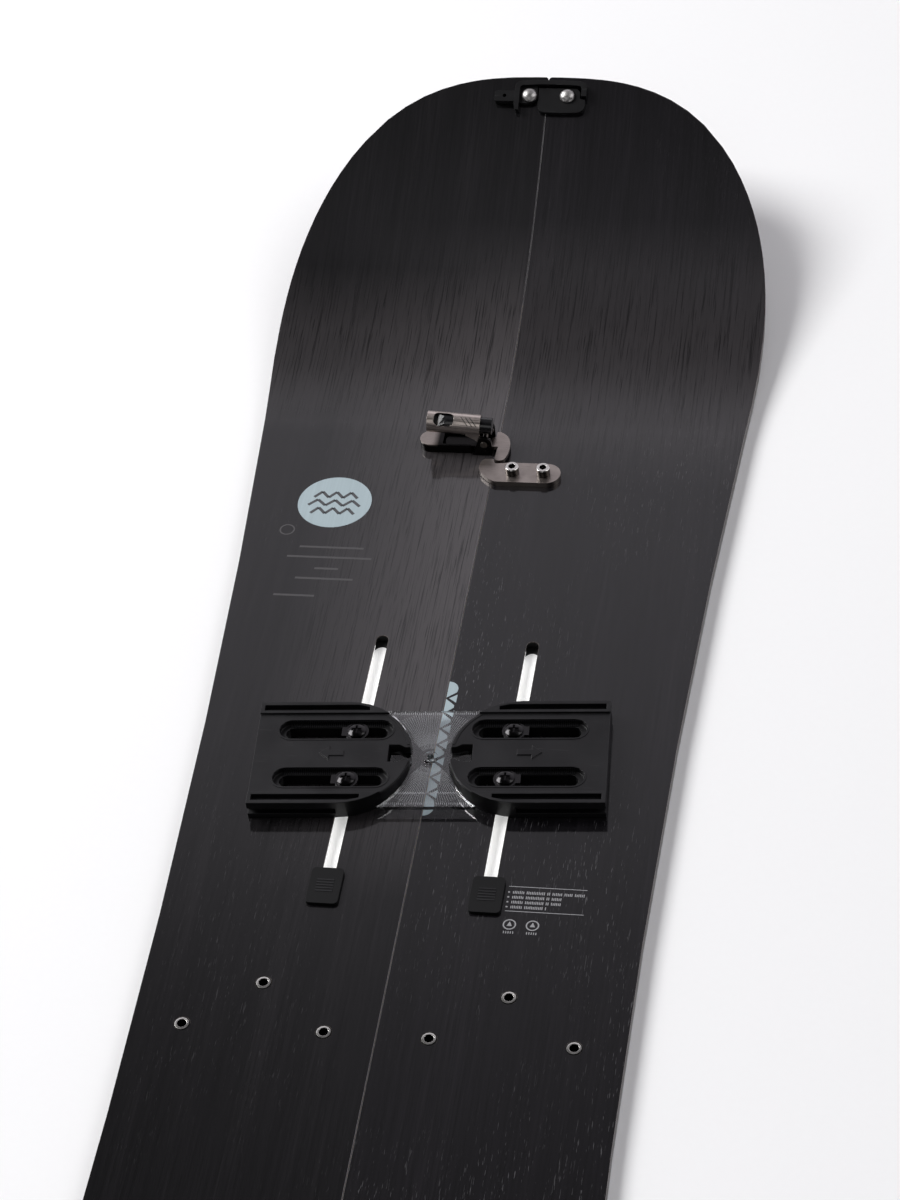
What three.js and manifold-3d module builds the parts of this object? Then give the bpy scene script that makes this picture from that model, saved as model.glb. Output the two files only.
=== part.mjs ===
// Splitboard, 158 size: two half boards that clip together along the centre seam.
// Millimetres. +Y points to the nose, +X to the right half, +Z up, z = 0 on the running base.
import * as THREE from 'three';
import { mergeVertices } from 'three/addons/utils/BufferGeometryUtils.js';
import Module from 'manifold-3d';

const wasm = await Module();
wasm.setup();

// ---------------------------------------------------------------- driving dimensions
const LENGTH = 1580;
const TIP = LENGTH / 2;
const WAIST = { half: 125.2, y: -9.5, blend: 49.6 };
const NOSE = { half: 151, wide: 181, p: 2.22, q: 2.86, rise: 70.5, run: 264, power: 1.9, sign: 1 };
const TAIL = { half: 146, wide: 160, p: 2.22, q: 2.86, rise: 52, run: 237, power: 1.9, sign: -1 };
const SEAM = 0.2;            // each half stops this far from the centre line
const TIP_ROUND = 1.8;        // rounding of the seam corner at both tips
const EDGE = 2;              // width of the steel edge
const WALL = 6;              // width of the sidewall
const BASE = 1.6;            // height of base sheet and steel edges
const UNDER = 6.6;           // underside of the topsheet
const TOP = 7.4;             // top of the topsheet
const SPACER = 160;          // length of the plastic nose and tail spacers

const CHANNEL = { x: 42.8, slot: 7, track: 17, cavity: 12, floor: 2.6, lip: 5.4, length: 196 };
const FRONT = { stance: 244.8, channelTop: 343.4, joiner: 507.3 };
const REAR = { stance: -315.2, channelTop: -216.6, joiner: -511.5 };
const STANCE_TURN = THREE.MathUtils.degToRad(4.06);

const PUCK = { out: 96, mid: 48.4, r: 37.75, field: 10.2, rail: 11.5, slotV: 17.7, slotU: 52.8 };
const GUIDE = { z: 3.6, thick: 2.4, half: 35.5, neck: 9.8, r: 46 };
const INSERTS = [[26.8, 59.4], [63.2, 88.6], [99.8, 59.2]];
const PLUG = { w: 17.3, l: 24.6, back: 189.1, h: 2 };

const CLIP_T = 14.2;         // rivets sit this far behind each tip
const CLIP_FLAT = 44;        // length of the straight run the clip sits on
const RIVET = { lever: -11, keeper: 13.5 };
const PIVOT = { x: -6.5, z: 9 };
const TUBE = { z: 16.5, r: 6.3, wall: 0.9, x0: -41.4, x1: -9.6 };
const REST_TILT = THREE.MathUtils.degToRad(4);   // closed lever rises towards its free end
const WINDOW_TURN = THREE.MathUtils.degToRad(30);  // lever window leans this far towards the tail
const BOSS = { z: 5.8, x: -32.2 };               // raised end and rails of the joiner base
const CATCH_BOLTS = [[12.6, -26.2], [31.1, -26.2]];
const BASE_STUDS = [-39.5, -18];   // studs under the joiner base
const NUT_BAR = { z0: 2.6, z1: 4 };   // bar under the core side of the catch bolts

// ---------------------------------------------------------------- solid helpers
const group = new THREE.Group();
group.name = 'splitboard';

function toSolid(geometry) {
  const g = geometry.clone();
  for (const name of Object.keys(g.attributes)) if (name !== 'position') g.deleteAttribute(name);
  const m = mergeVertices(g, 1e-4);
  return new wasm.Manifold(new wasm.Mesh({
    numProp: 3,
    vertProperties: new Float32Array(m.attributes.position.array),
    triVerts: new Uint32Array(m.index.array),
  }));
}

function toGeometry(solid) {
  const mesh = solid.getMesh();
  const g = new THREE.BufferGeometry();
  g.setAttribute('position', new THREE.BufferAttribute(new Float32Array(mesh.vertProperties), 3));
  g.setIndex(new THREE.BufferAttribute(new Uint32Array(mesh.triVerts), 1));
  const flat = g.toNonIndexed();
  flat.computeVertexNormals();
  return flat;
}

function moved(geometry, matrix) {
  const g = geometry.clone();
  g.applyMatrix4(matrix);
  return g;
}

const at = (x, y, z) => new THREE.Matrix4().makeTranslation(x, y, z);
const join = (...solids) => solids.reduce((a, b) => a.add(b));
const cut = (solid, ...tools) => tools.reduce((a, b) => a.subtract(b), solid);

// box between two corners
function box(x0, x1, y0, y1, z0, z1) {
  const g = new THREE.BoxGeometry(x1 - x0, y1 - y0, z1 - z0);
  return toSolid(g.translate((x0 + x1) / 2, (y0 + y1) / 2, (z0 + z1) / 2));
}

// flat shape raised from z0 to z1
function slab(shape, z0, z1, curve = 6) {
  const g = new THREE.ExtrudeGeometry(shape, {
    depth: z1 - z0, bevelEnabled: false, curveSegments: curve, steps: 1,
  });
  return toSolid(g.translate(0, 0, z0));
}

function outline(points) {
  return new THREE.Shape(points.map(([x, y]) => new THREE.Vector2(x, y)));
}

// upright cylinder
function post(x, y, r, z0, z1, sides = 12) {
  const g = new THREE.CylinderGeometry(r, r, z1 - z0, sides).rotateX(Math.PI / 2);
  return toSolid(g.translate(x, y, (z0 + z1) / 2));
}

// cylinder along X or Y
function bar(axis, centre, r, a, b, sides = 12) {
  const g = new THREE.CylinderGeometry(r, r, b - a, sides);
  if (axis === 'x') g.rotateZ(Math.PI / 2).translate((a + b) / 2, centre[0], centre[1]);
  else g.translate(centre[0], (a + b) / 2, centre[1]);
  return toSolid(g);
}

// solid of revolution about a vertical axis; profile runs axis to axis, from the bottom up
function turned(x, y, profile, sides = 12) {
  const points = profile.map(([r, z]) => new THREE.Vector2(r, z));
  return toSolid(new THREE.LatheGeometry(points, sides).rotateX(Math.PI / 2).translate(x, y, 0));
}

// rounded bar seen from above, running along X from x0 to x1 with half width r
function stadium(x0, x1, y, r, arc = 8) {
  const pts = [];
  for (let i = 0; i <= arc; i++) {
    const a = -Math.PI / 2 + (Math.PI * i) / arc;
    pts.push([x1 - r + r * Math.cos(a), y + r * Math.sin(a)]);
  }
  for (let i = 0; i <= arc; i++) {
    const a = Math.PI / 2 + (Math.PI * i) / arc;
    pts.push([x0 + r + r * Math.cos(a), y + r * Math.sin(a)]);
  }
  return outline(pts);
}

function roundedRect(x0, x1, y0, y1, r) {
  const s = new THREE.Shape();
  s.moveTo(x0 + r, y0).lineTo(x1 - r, y0).absarc(x1 - r, y0 + r, r, -Math.PI / 2, 0);
  s.lineTo(x1, y1 - r).absarc(x1 - r, y1 - r, r, 0, Math.PI / 2);
  s.lineTo(x0 + r, y1).absarc(x0 + r, y1 - r, r, Math.PI / 2, Math.PI);
  s.lineTo(x0, y0 + r).absarc(x0 + r, y0 + r, r, Math.PI, 1.5 * Math.PI);
  return s;
}

// ---------------------------------------------------------------- materials
const paint = (color, roughness, metalness = 0) => ({ color, roughness, metalness });
const LOOK = {
  topsheet: paint(0x17161a, 0.25),
  core: paint(0xc8a878, 0.7),
  base: paint(0x1b1b1d, 0.45),
  steel: paint(0x9a9a9c, 0.35, 1),
  sidewall: paint(0x2a2624, 0.5),
  spacer: paint(0x4a2038, 0.5),
  track: paint(0xe8e8e4, 0.5),
  rubber: paint(0x161616, 0.85),
  puck: paint(0x1c1c20, 0.45),
  blackSteel: paint(0x1a1a1c, 0.35, 0.8),
  brass: paint(0x8a7a58, 0.4, 1),
  stainless: paint(0xc4c2bd, 0.25, 1),
  nickel: paint(0x8f8580, 0.22, 1),
  clip: paint(0x222124, 0.5),
  clear: paint(0xd8dde0, 0.1),
};

function addPiece(name, solid, look, matrix) {
  let geometry = toGeometry(solid);
  if (matrix) geometry = moved(geometry, matrix);
  const mesh = new THREE.Mesh(geometry, new THREE.MeshStandardMaterial(LOOK[look]));
  mesh.name = name;
  group.add(mesh);
}

// ---------------------------------------------------------------- board shape
// distance from the waist to the widest point, and the sidecut radius that fits both widths
for (const end of [NOSE, TAIL]) {
  end.reach = Math.abs(end.sign * TIP - WAIST.y) - end.wide;
  const b = WAIST.blend;
  const total = (end.reach * b) / 2 - (b * b) / 3 + (end.reach - b) ** 2 / 2;
  end.radius = total / (end.half - WAIST.half);
}

const endOf = (y) => (y > WAIST.y ? NOSE : TAIL);
const fromTip = (y) => TIP - Math.abs(y);

function halfWidth(y, inset = 0) {
  const end = endOf(y);
  const t = end.sign > 0 ? TIP - y : y + TIP;
  if (t < end.wide) {
    const u = Math.max(0, (t - inset) / (end.wide - inset));
    return (end.half - inset) * (1 - (1 - u) ** end.p) ** (1 / end.q);
  }
  const b = WAIST.blend;
  const s = t - end.wide;
  const drop = s < b
    ? ((end.reach * s * s) / 2 - s ** 3 / 3) / b
    : (end.reach * b) / 2 - (b * b) / 3 + ((end.reach - b) ** 2 - (end.reach - s) ** 2) / 2;
  return end.half - drop / end.radius - inset;
}

// inner border of a half, rounded where the seam meets the tip
function seamSide(y, inset = 0) {
  const t = fromTip(y);
  if (t >= TIP_ROUND) return SEAM + inset;
  return SEAM + inset + TIP_ROUND - Math.sqrt(TIP_ROUND ** 2 - (TIP_ROUND - t) ** 2);
}

// the tips rise in short straight runs; the first run carries the clip
const RUNS = [0, CLIP_FLAT, 66, 88, 110, 135, 160, 185, 210, 237, 264];

function rise(y) {
  const end = endOf(y);
  const t = end.sign > 0 ? TIP - y : y + TIP;
  if (t >= end.run) return 0;
  const height = (d) => end.rise * (Math.max(0, end.run - d) / end.run) ** end.power;
  const i = RUNS.findIndex((d) => d > t) - 1;
  const k = (t - RUNS[i]) / (RUNS[i + 1] - RUNS[i]);
  return height(RUNS[i]) * (1 - k) + height(RUNS[i + 1]) * k;
}

// cross-section stations, as distances from a tip, then along the flat middle
const TIP_STEPS = [0.02, 0.4, 1.2, EDGE, 2.35, 3.4, 5.5, 9, 14, 21, 30, CLIP_FLAT, 55, 66, 77, 88,
  99, 110, 122, 135, 147, 160, 172, 185, 210, 237, 264];
const MIDDLE = [400, 270, 130, 0, -130, -270, -400];
const STATIONS = [
  ...TIP_STEPS.map((t) => TIP - t), ...MIDDLE, ...[...TIP_STEPS].reverse().map((t) => t - TIP),
];

// closed layer between two borders, following the rise of the tips
function layer(from, to, inner, outer, z0, z1) {
  const ys = STATIONS.filter((y) => y <= from + 1e-6 && y >= to - 1e-6);
  const positions = [];
  for (const y of ys) {
    const lift = rise(y);
    const a = inner(y);
    const b = Math.max(outer(y), a + 0.05);
    positions.push(a, y, lift + z0, b, y, lift + z0, b, y, lift + z1, a, y, lift + z1);
  }
  const index = [];
  for (let i = 0; i < ys.length - 1; i++) {
    for (let k = 0; k < 4; k++) {
      const [p, q] = [4 * i + k, 4 * i + ((k + 1) % 4)];
      index.push(p, q, p + 4, q, q + 4, p + 4);
    }
  }
  const last = 4 * (ys.length - 1);
  index.push(0, 2, 1, 0, 3, 2, last, last + 1, last + 2, last, last + 2, last + 3);
  const g = new THREE.BufferGeometry();
  g.setAttribute('position', new THREE.Float32BufferAttribute(positions, 3));
  g.setIndex(index);
  return toSolid(g);
}

// the plane a clip sits on: x across, y up the slope towards the tip, z away from the topsheet
function clipPlane(end) {
  const tip = end.sign * TIP;
  const back = end.sign * (TIP - CLIP_FLAT);
  const slope = Math.atan2(rise(tip - end.sign * 0.001) - rise(back), CLIP_FLAT);
  const y = tip - end.sign * CLIP_T;
  return new THREE.Matrix4()
    .makeTranslation(0, y, rise(y) + TOP)
    .multiply(new THREE.Matrix4().makeRotationZ(end.sign > 0 ? 0 : Math.PI))
    .multiply(new THREE.Matrix4().makeRotationX(slope));
}

const withMatrix = (solid, matrix) => toSolid(moved(toGeometry(solid), matrix));

// ---------------------------------------------------------------- half board laminate
// built for the right half, mirrored for the left
function channelSpan(station) {
  return [station.channelTop - CHANNEL.length, station.channelTop];
}

function halfBoard(side, s) {
  const put = (name, solid, look) => {
    const g = toGeometry(solid);
    const p = g.attributes.position;
    if (s < 0) {
      for (let i = 0; i < p.count; i += 3) {
        const [a, b, c] = [0, 1, 2].map((k) => [-p.getX(i + k), p.getY(i + k), p.getZ(i + k)]);
        p.setXYZ(i, ...a);
        p.setXYZ(i + 1, ...c);
        p.setXYZ(i + 2, ...b);
      }
    }
    g.computeVertexNormals();
    const mesh = new THREE.Mesh(g, new THREE.MeshStandardMaterial(LOOK[look]));
    mesh.name = `${side}_${name}`;
    group.add(mesh);
  };
  const begin = TIP - 0.02;
  const tipEnd = TIP - SPACER;
  const outer = (inset) => (y) => halfWidth(y, inset);
  const inner = (inset) => (y) => seamSide(y, inset);
  const edgeStart = TIP - 2.35;

  // tools that open the laminate for the hardware of this half
  const slotTools = [FRONT, REAR].map((station) => {
    const [y0, y1] = channelSpan(station);
    const hole = stadium(y0, y1, -CHANNEL.x, CHANNEL.slot / 2, 6);
    return toSolid(moved(toGeometry(slab(hole, UNDER - 1, TOP + 1)),
      new THREE.Matrix4().makeRotationZ(Math.PI / 2)));
  });
  const pocketTools = [FRONT, REAR].map((station) => {
    const [y0, y1] = channelSpan(station);
    const w = CHANNEL.track / 2 + 0.05;
    return box(CHANNEL.x - w, CHANNEL.x + w, y0 - 3, y1 + 3, BASE - 1, UNDER + 0.4);
  });
  const sleeveTools = INSERTS.map(([x, y]) => post(x, y, 4.35, BASE - 1, TOP + 1));
  const flangeTools = INSERTS.map(([x, y]) => post(x, y, 7.05, BASE - 1, BASE + 1.15));
  const [keeper, lever] = [RIVET.keeper, -RIVET.lever];
  const rivets = s > 0 ? { nose: keeper, tail: lever } : { nose: lever, tail: keeper };
  const rivetHole = (end, x) => {
    const local = end.sign * x;
    return withMatrix(post(local, 0, 2.45, -5.6, 2, 10), clipPlane(end));
  };
  const noseHole = rivetHole(NOSE, rivets.nose);
  const tailHole = rivetHole(TAIL, rivets.tail);
  const screwTools = [];
  for (const station of [FRONT, REAR]) {
    if (s > 0) {
      for (const [x, y] of CATCH_BOLTS) {
        screwTools.push(post(x, station.joiner + y, 2.55, BASE + 0.4, TOP + 1, 10));
      }
    } else {
      for (const x of BASE_STUDS) {
        screwTools.push(post(-x, station.joiner, 2.05, BASE + 0.4, TOP + 1, 10));
      }
    }
  }

  put('topsheet', cut(layer(begin, -begin, inner(0), outer(0), UNDER, TOP),
    ...slotTools, ...sleeveTools, ...screwTools, noseHole, tailHole), 'topsheet');
  const barTools = s < 0 ? [] : [FRONT, REAR].map((station) => nutBar(station, 0.05));
  put('core', cut(layer(tipEnd, -tipEnd, inner(0), outer(WALL), BASE, UNDER),
    ...pocketTools, ...sleeveTools, ...flangeTools, ...screwTools, ...barTools), 'core');
  put('base', layer(edgeStart, -edgeStart, inner(EDGE), outer(EDGE), 0, BASE), 'base');
  const wrap = (y) => (fromTip(y) < EDGE + 0.01 ? seamSide(y) : halfWidth(y, EDGE));
  put('steel_edge', join(layer(begin, -begin, wrap, outer(0), 0, BASE),
    layer(TIP - EDGE, EDGE - TIP, inner(0), inner(EDGE), 0, BASE)), 'steel');
  put('sidewall', layer(tipEnd, -tipEnd, outer(WALL), outer(0), BASE, UNDER), 'sidewall');
  put('nose_spacer', cut(layer(begin, tipEnd, inner(0), outer(0), BASE, UNDER), noseHole),
    'spacer');
  put('tail_spacer', cut(layer(-tipEnd, -begin, inner(0), outer(0), BASE, UNDER), tailHole),
    'spacer');

  // channel tracks: floor, side walls and lips around a wider cavity for the nuts
  for (const [place, station] of [['front', FRONT], ['rear', REAR]]) {
    const [y0, y1] = channelSpan(station);
    const [w, c] = [CHANNEL.track / 2, CHANNEL.cavity / 2];
    const block = box(CHANNEL.x - w, CHANNEL.x + w, y0 - 3, y1 + 3, BASE, UNDER);
    const cavity = box(CHANNEL.x - c, CHANNEL.x + c, y0, y1, CHANNEL.floor, CHANNEL.lip);
    const slot = withMatrix(
      slab(stadium(y0, y1, -CHANNEL.x, CHANNEL.slot / 2, 6), CHANNEL.lip - 0.5, UNDER + 1),
      new THREE.Matrix4().makeRotationZ(Math.PI / 2));
    put(`${place}_channel_track`, cut(block, cavity, slot), 'track');
  }

  // rubber plugs: pad on the topsheet, stem down the slot
  for (const [place, station] of [['front', FRONT], ['rear', REAR]]) {
    const y = station.channelTop - PLUG.back;
    const pad = slab(roundedRect(CHANNEL.x - PLUG.w / 2, CHANNEL.x + PLUG.w / 2,
      y - PLUG.l / 2, y + PLUG.l / 2, 2.6), TOP, TOP + PLUG.h, 2);
    const stem = box(CHANNEL.x - 3.2, CHANNEL.x + 3.2, y - 2, y + 9.5, CHANNEL.floor + 0.2, TOP + 1);
    put(`${place}_channel_plug`, join(pad, stem), 'rubber');
  }

  // threaded sleeves for the touring bracket
  INSERTS.forEach(([x, y], i) => {
    const body = turned(x, y, [[0, BASE + 0.05], [7, BASE + 0.05], [7, BASE + 1.1],
      [4.3, BASE + 1.1], [4.3, TOP + 0.05], [3.5, TOP + 0.25], [0, TOP + 0.25]]);
    put(`touring_insert_${i + 1}`, cut(body, post(x, y, 2.6, BASE + 0.6, TOP + 1, 10)), 'stainless');
  });
}

// ---------------------------------------------------------------- pucks and their hardware
// drawn with the round end towards the seam, outboard along +u, then turned into place
function puckSolid() {
  const { out, mid, r, field, rail } = PUCK;
  const ring = (radius, from, to, n) => Array.from({ length: n + 1 }, (_, i) => {
    const a = from + ((to - from) * i) / n;
    return [mid + radius * Math.cos(a), radius * Math.sin(a)];
  });
  const plan = outline([[out, -r], [out, r], ...ring(r, Math.PI / 2, 1.5 * Math.PI, 18)]);
  let body = slab(plan, 0, field);
  const inner = outline([[out, -r], [out, r], ...ring(r - 1.8, Math.PI / 2, 1.5 * Math.PI, 18)]);
  for (const v of [-1, 1]) {
    const [a, b] = v > 0 ? [29.2, r] : [-r, -29.2];
    body = join(body, slab(plan, field - 1, rail).intersect(box(0, out, a, b, 0, rail)));
    const [c, d] = v > 0 ? [31.2, 35.2] : [-35.2, -31.2];
    body = cut(body, slab(inner, 8.2, rail + 1).intersect(box(35.5, out - 2.2, c, d, 8, 20)));
    const [e, f] = v > 0 ? [34.4, r + 1] : [-r - 1, -34.4];
    body = cut(body, box(mid, out + 1, e, f, 3.2, 7));
    const centre = v * PUCK.slotV;
    body = cut(body,
      slab(stadium(PUCK.slotU - 31.3, PUCK.slotU + 31.3, centre, 6.95, 6), 7, rail + 1),
      slab(stadium(PUCK.slotU - 28, PUCK.slotU + 28, centre, 4.2, 5), -1, 8));
  }
  const notch = outline([[9, -4.3], [14, -4.3], [17, -6.2], [22.8, -6.2], [22.8, 6.2], [17, 6.2],
    [14, 4.3], [9, 4.3]]);
  return cut(body, slab(notch, GUIDE.z, rail + 1));
}

// generic direction arrow raised on the field of a puck
function puckArrow() {
  const arrow = outline([[47, -2], [55, -2], [55, -5], [60.5, 0], [55, 5], [55, 2], [47, 2]]);
  return slab(arrow, PUCK.field - 0.5, PUCK.field + 0.6);
}

function guideSolid() {
  const { half, neck, r, z, thick } = GUIDE;
  const swing = Math.asin(half / r);
  const side = (s) => Array.from({ length: 13 }, (_, i) => {
    const a = swing * (1 - i / 6);
    return [s * (neck + r - r * Math.cos(a)), s * r * Math.sin(a)];
  });
  const plate = slab(outline([...side(1).reverse(), ...side(-1).reverse()]), z, z + thick);
  const tabs = [1, -1].map((s) => {
    const pts = [[neck - 2, -3.6], [14.6, -3.6], [17.4, -5.4], [21.9, -5.4], [21.9, 5.4],
      [17.4, 5.4], [14.6, 3.6], [neck - 2, 3.6]].map(([x, y]) => [s * x, s * y]);
    return slab(outline(pts), z, z + thick);
  });
  const boss = post(0, 0, 4, z + thick - 0.5, z + thick + 1.2);
  return cut(join(plate, ...tabs, boss), post(0, 0, 1.9, z - 1, z + thick + 2, 10));
}

function stanceMatrix(station, s) {
  return new THREE.Matrix4().makeTranslation(0, station.stance, TOP)
    .multiply(new THREE.Matrix4().makeRotationZ(STANCE_TURN + (s > 0 ? 0 : Math.PI)));
}

// two screws with their washers, threaded into one bar nut that slides in the channel
function puckClamp(station, s) {
  const matrix = stanceMatrix(station, s);
  const bottom = CHANNEL.floor + 0.2;
  const ends = [];
  const parts = [];
  for (const v of [-PUCK.slotV, PUCK.slotV]) {
    const u = (CHANNEL.x + v * Math.sin(STANCE_TURN)) / Math.cos(STANCE_TURN);
    const washer = join(post(u, v, 6.6, 7.25, 8.7, 16),
      box(u, u + 8.2, v - 3.2, v + 3.2, 7.25, 8.7));
    const screw = turned(u, v, [[0, bottom - TOP], [2.9, bottom - TOP], [2.9, 8.4], [5.2, 8.6],
      [5.1, 9.7], [3.4, 10.7], [0, 11]]);
    const head = cut(join(washer, screw), box(u - 2.6, u + 2.6, v - 0.5, v + 0.5, 9.5, 12),
      box(u - 0.5, u + 0.5, v - 2.6, v + 2.6, 9.5, 12));
    parts.push(withMatrix(head, matrix));
    ends.push(new THREE.Vector3(u, v, 0).applyMatrix4(matrix));
  }
  const x = s * CHANNEL.x;
  const y = ends.map((e) => e.y);
  const bar = box(x - 5.7, x + 5.7, Math.min(...y) - 7, Math.max(...y) + 7, bottom,
    CHANNEL.lip - 0.2);
  return join(bar, ...parts);
}

function buildPucks(side, s) {
  for (const [place, station] of [['front', FRONT], ['rear', REAR]]) {
    addPiece(`${side}_${place}_puck`, join(puckSolid(), puckArrow()), 'puck',
      stanceMatrix(station, s));
    addPiece(`${side}_${place}_puck_clamp`, puckClamp(station, s), 'blackSteel');
  }
}

// ---------------------------------------------------------------- tip clips
// a rounded rectangle whose long edge towards the tip bows outwards
function bowedRect(x0, x1, y0, y1, r, bow) {
  const s = new THREE.Shape();
  s.moveTo(x0 + r, y0).lineTo(x1 - r, y0);
  s.quadraticCurveTo(x1, y0, x1, y0 + r).lineTo(x1, y1 - r);
  s.quadraticCurveTo(x1, y1, x1 - r, y1 + bow * 0.25);
  s.quadraticCurveTo((x0 + x1) / 2, y1 + 2 * bow, x0 + r, y1 + bow * 0.25);
  s.quadraticCurveTo(x0, y1, x0, y1 - r).lineTo(x0, y0 + r);
  s.quadraticCurveTo(x0, y0, x0 + r, y0);
  return s;
}

function clipLever() {
  const [z0, z1, zr] = [0.35, 3, 5.2];
  const frame = cut(slab(bowedRect(-20.5, 25.8, -11.5, 9.6, 4.2, 0.9), z0, zr, 4),
    slab(bowedRect(-17.3, 22.6, -20, 6.5, 2.2, 0.8), z0 - 1, zr + 1, 4),
    box(20, 30, -12, -0.8, z0 - 1, zr + 1));
  const floor = join(post(RIVET.lever, 0, 5.4, z0, z1, 20),
    slab(outline([[-18, -5.4], [-11, -5.4], [-11, 0], [-6.1, 0], [-6.1, 7.2], [-18, 7.2]]), z0, z1));
  const tab = cut(slab(roundedRect(-33.3, -18, -5, 2.8, 1.8), z0, zr - 0.4, 3),
    post(-27, -0.9, 1.25, -1, 6, 10));
  return cut(join(frame, floor, tab), post(RIVET.lever, 0, 2.5, -1, 6, 10));
}

function clipKeeper() {
  const plan = new THREE.Shape();
  plan.moveTo(-5.2, 5.8).lineTo(-5.2, -7.2).quadraticCurveTo(-4.6, -11.6, -0.6, -11.8);
  plan.quadraticCurveTo(10, -12.5, 20.4, -11.8).quadraticCurveTo(24.8, -11.2, 25.2, -6.6);
  plan.lineTo(25.2, -2.4).lineTo(21.7, -1.6).lineTo(21.7, 3.2).lineTo(19.2, 5.8);
  return cut(slab(plan, 0, 3, 4), box(-8, 0.8, -20, 20, -1, 0.4),
    post(RIVET.keeper, 0, 2.4, -1, 6, 10));
}

function clipRivet(x, under) {
  return turned(x, 0, [[0, -5], [2.2, -5], [2.2, under], [4.9, under], [4.85, under + 0.8],
    [4.3, under + 1.8], [3.2, under + 2.6], [1.7, under + 3.1], [0, under + 3.2]], 24);
}

function buildClip(name, end) {
  const matrix = clipPlane(end);
  addPiece(`${name}_clip_lever`, clipLever(), 'clip', matrix);
  addPiece(`${name}_clip_keeper`, clipKeeper(), 'clip', matrix);
  addPiece(`${name}_clip_lever_rivet`, clipRivet(RIVET.lever, 3.2), 'stainless', matrix);
  addPiece(`${name}_clip_keeper_rivet`, clipRivet(RIVET.keeper, 3.05), 'stainless', matrix);
}

// ---------------------------------------------------------------- joiners
// drawn about the lever's centre line, z = 0 on the topsheet
function joinerBase() {
  const plate = join(slab(stadium(-46.5, -4, 0, 6.5, 12), 0, 1.6), box(-14, -2, -8, 8, 0, 1.6));
  const raised = cut(slab(stadium(-46.5, -8, 0, 6.5, 12), 0, BOSS.z), box(-15, 0, -9, 9, -1, 9),
    box(BOSS.x, 0, -4.9, 4.9, 1, 9));
  const cheek = new THREE.Shape();
  cheek.moveTo(-12.5, 0).lineTo(-2, 0).lineTo(-2, PIVOT.z);
  cheek.absarc(PIVOT.x, PIVOT.z, 4.5, 0, 0.75 * Math.PI).lineTo(-12.5, 5);
  const cheeks = [-1, 1].map((s) => {
    const g = toGeometry(slab(cheek, -0.9, 0.9, 6)).rotateX(Math.PI / 2).translate(0, s * 7.1, 0);
    return toSolid(g);
  });
  const studs = BASE_STUDS.map((x) => post(x, 0, 1.95, -4.8, 0.5));
  return cut(join(plate, raised, ...cheeks, ...studs),
    bar('y', [PIVOT.x, PIVOT.z], 1.75, -12, 12, 10));
}

// flat bar that pulls on the catch with a rounded ear
function joinerHook() {
  const ear = new THREE.Shape();
  ear.moveTo(-0.9, 8.6).quadraticCurveTo(0.4, 9.6, 2.4, 8.2).quadraticCurveTo(7.4, 5.2, 8.1, -1.5);
  ear.quadraticCurveTo(8.9, -9.4, 6.4, -15.2).quadraticCurveTo(4.6, -17.6, 1.6, -16.4);
  ear.quadraticCurveTo(-0.2, -15, 0.6, -11.5).lineTo(1, -4.4).lineTo(-28, -4.4);
  ear.quadraticCurveTo(-31, -4.4, -31, 0).quadraticCurveTo(-31, 4.4, -28, 4.4).lineTo(-0.9, 4.4);
  return slab(ear, 1.9, 4.2, 7);
}

// tube on two arms, with a window turned towards the tail
function joinerLever() {
  const { z, r, wall, x0, x1 } = TUBE;
  const tube = cut(bar('x', [0, z], r, x0, x1, 28), bar('x', [0, z], r - wall, x0 + wall, x1 + 1, 24),
    box(x0 + 6, x1 + 1, -3.4, 3.4, z - r - 1, z));
  const hole = toGeometry(slab(roundedRect(x0 + 4, x0 + 16, -4.1, 4.1, 3), 1, r + 1, 4));
  const window = toSolid(hole.rotateX(WINDOW_TURN).translate(0, 0, z));
  const arm = outline([[-18, 14.5], [-18, 12.6], [-12, 9.5], [-9.6, 6.2], [-6.5, 5.2], [-3.4, 6.6],
    [-2.4, 9], [-3.4, 11.2], [-6.5, 11.8], [-9.8, 12.4], [-9.8, 14.5]]);
  const arms = [-1, 1].map((s) => {
    const g = toGeometry(slab(arm, -0.5, 0.5)).rotateX(Math.PI / 2).translate(0, s * 5.35, 0);
    return toSolid(g);
  });
  return cut(join(cut(tube, window), ...arms), bar('y', [PIVOT.x, PIVOT.z], 1.9, -12, 12, 10));
}

// push rod inside the tube, with a sloped finger recess under the window
function joinerSlider() {
  const rod = bar('x', [0, TUBE.z], TUBE.r - TUBE.wall - 0.35, -38.6, -2.6, 24);
  const recess = outline([[-37, 8], [-37, 2.6], [-27.4, 5.6], [-26.6, 8]]);
  const g = toGeometry(slab(recess, -7, 7)).rotateX(Math.PI / 2 + WINDOW_TURN);
  return cut(rod, toSolid(g.translate(0, 0, TUBE.z)));
}

// plate bolted to the right half, with a tooth that the hook's ear closes on
function joinerCatch() {
  const s = new THREE.Shape();
  s.moveTo(4.2, -34.6).lineTo(32.7, -34.6);
  s.absarc(32.7, -26, 8.6, -Math.PI / 2, Math.PI / 2).lineTo(9.5, -17.4);
  s.quadraticCurveTo(5, -18.4, 1.6, -18.4).quadraticCurveTo(0.3, -18.4, 0.3, -16.4);
  s.quadraticCurveTo(0.3, -14.3, -2.4, -14.3).quadraticCurveTo(-6.4, -14.3, -7.4, -17.6);
  s.quadraticCurveTo(-9.2, -24.6, -5, -28.4).quadraticCurveTo(0.4, -34.6, 4.2, -34.6);
  return cut(slab(s, 0, 3.4, 10), box(-12, 0.8, -40, 0, -1, 0.4),
    ...CATCH_BOLTS.map(([x, y]) => post(x, y, 2.6, -1, 6, 10)));
}

function nutBar(station, gap) {
  const [[xa, y], [xb]] = CATCH_BOLTS;
  return slab(stadium(xa - 4 - gap, xb + 4 + gap, station.joiner + y, 4 + gap),
    NUT_BAR.z0 - gap, NUT_BAR.z1 + gap);
}

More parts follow.
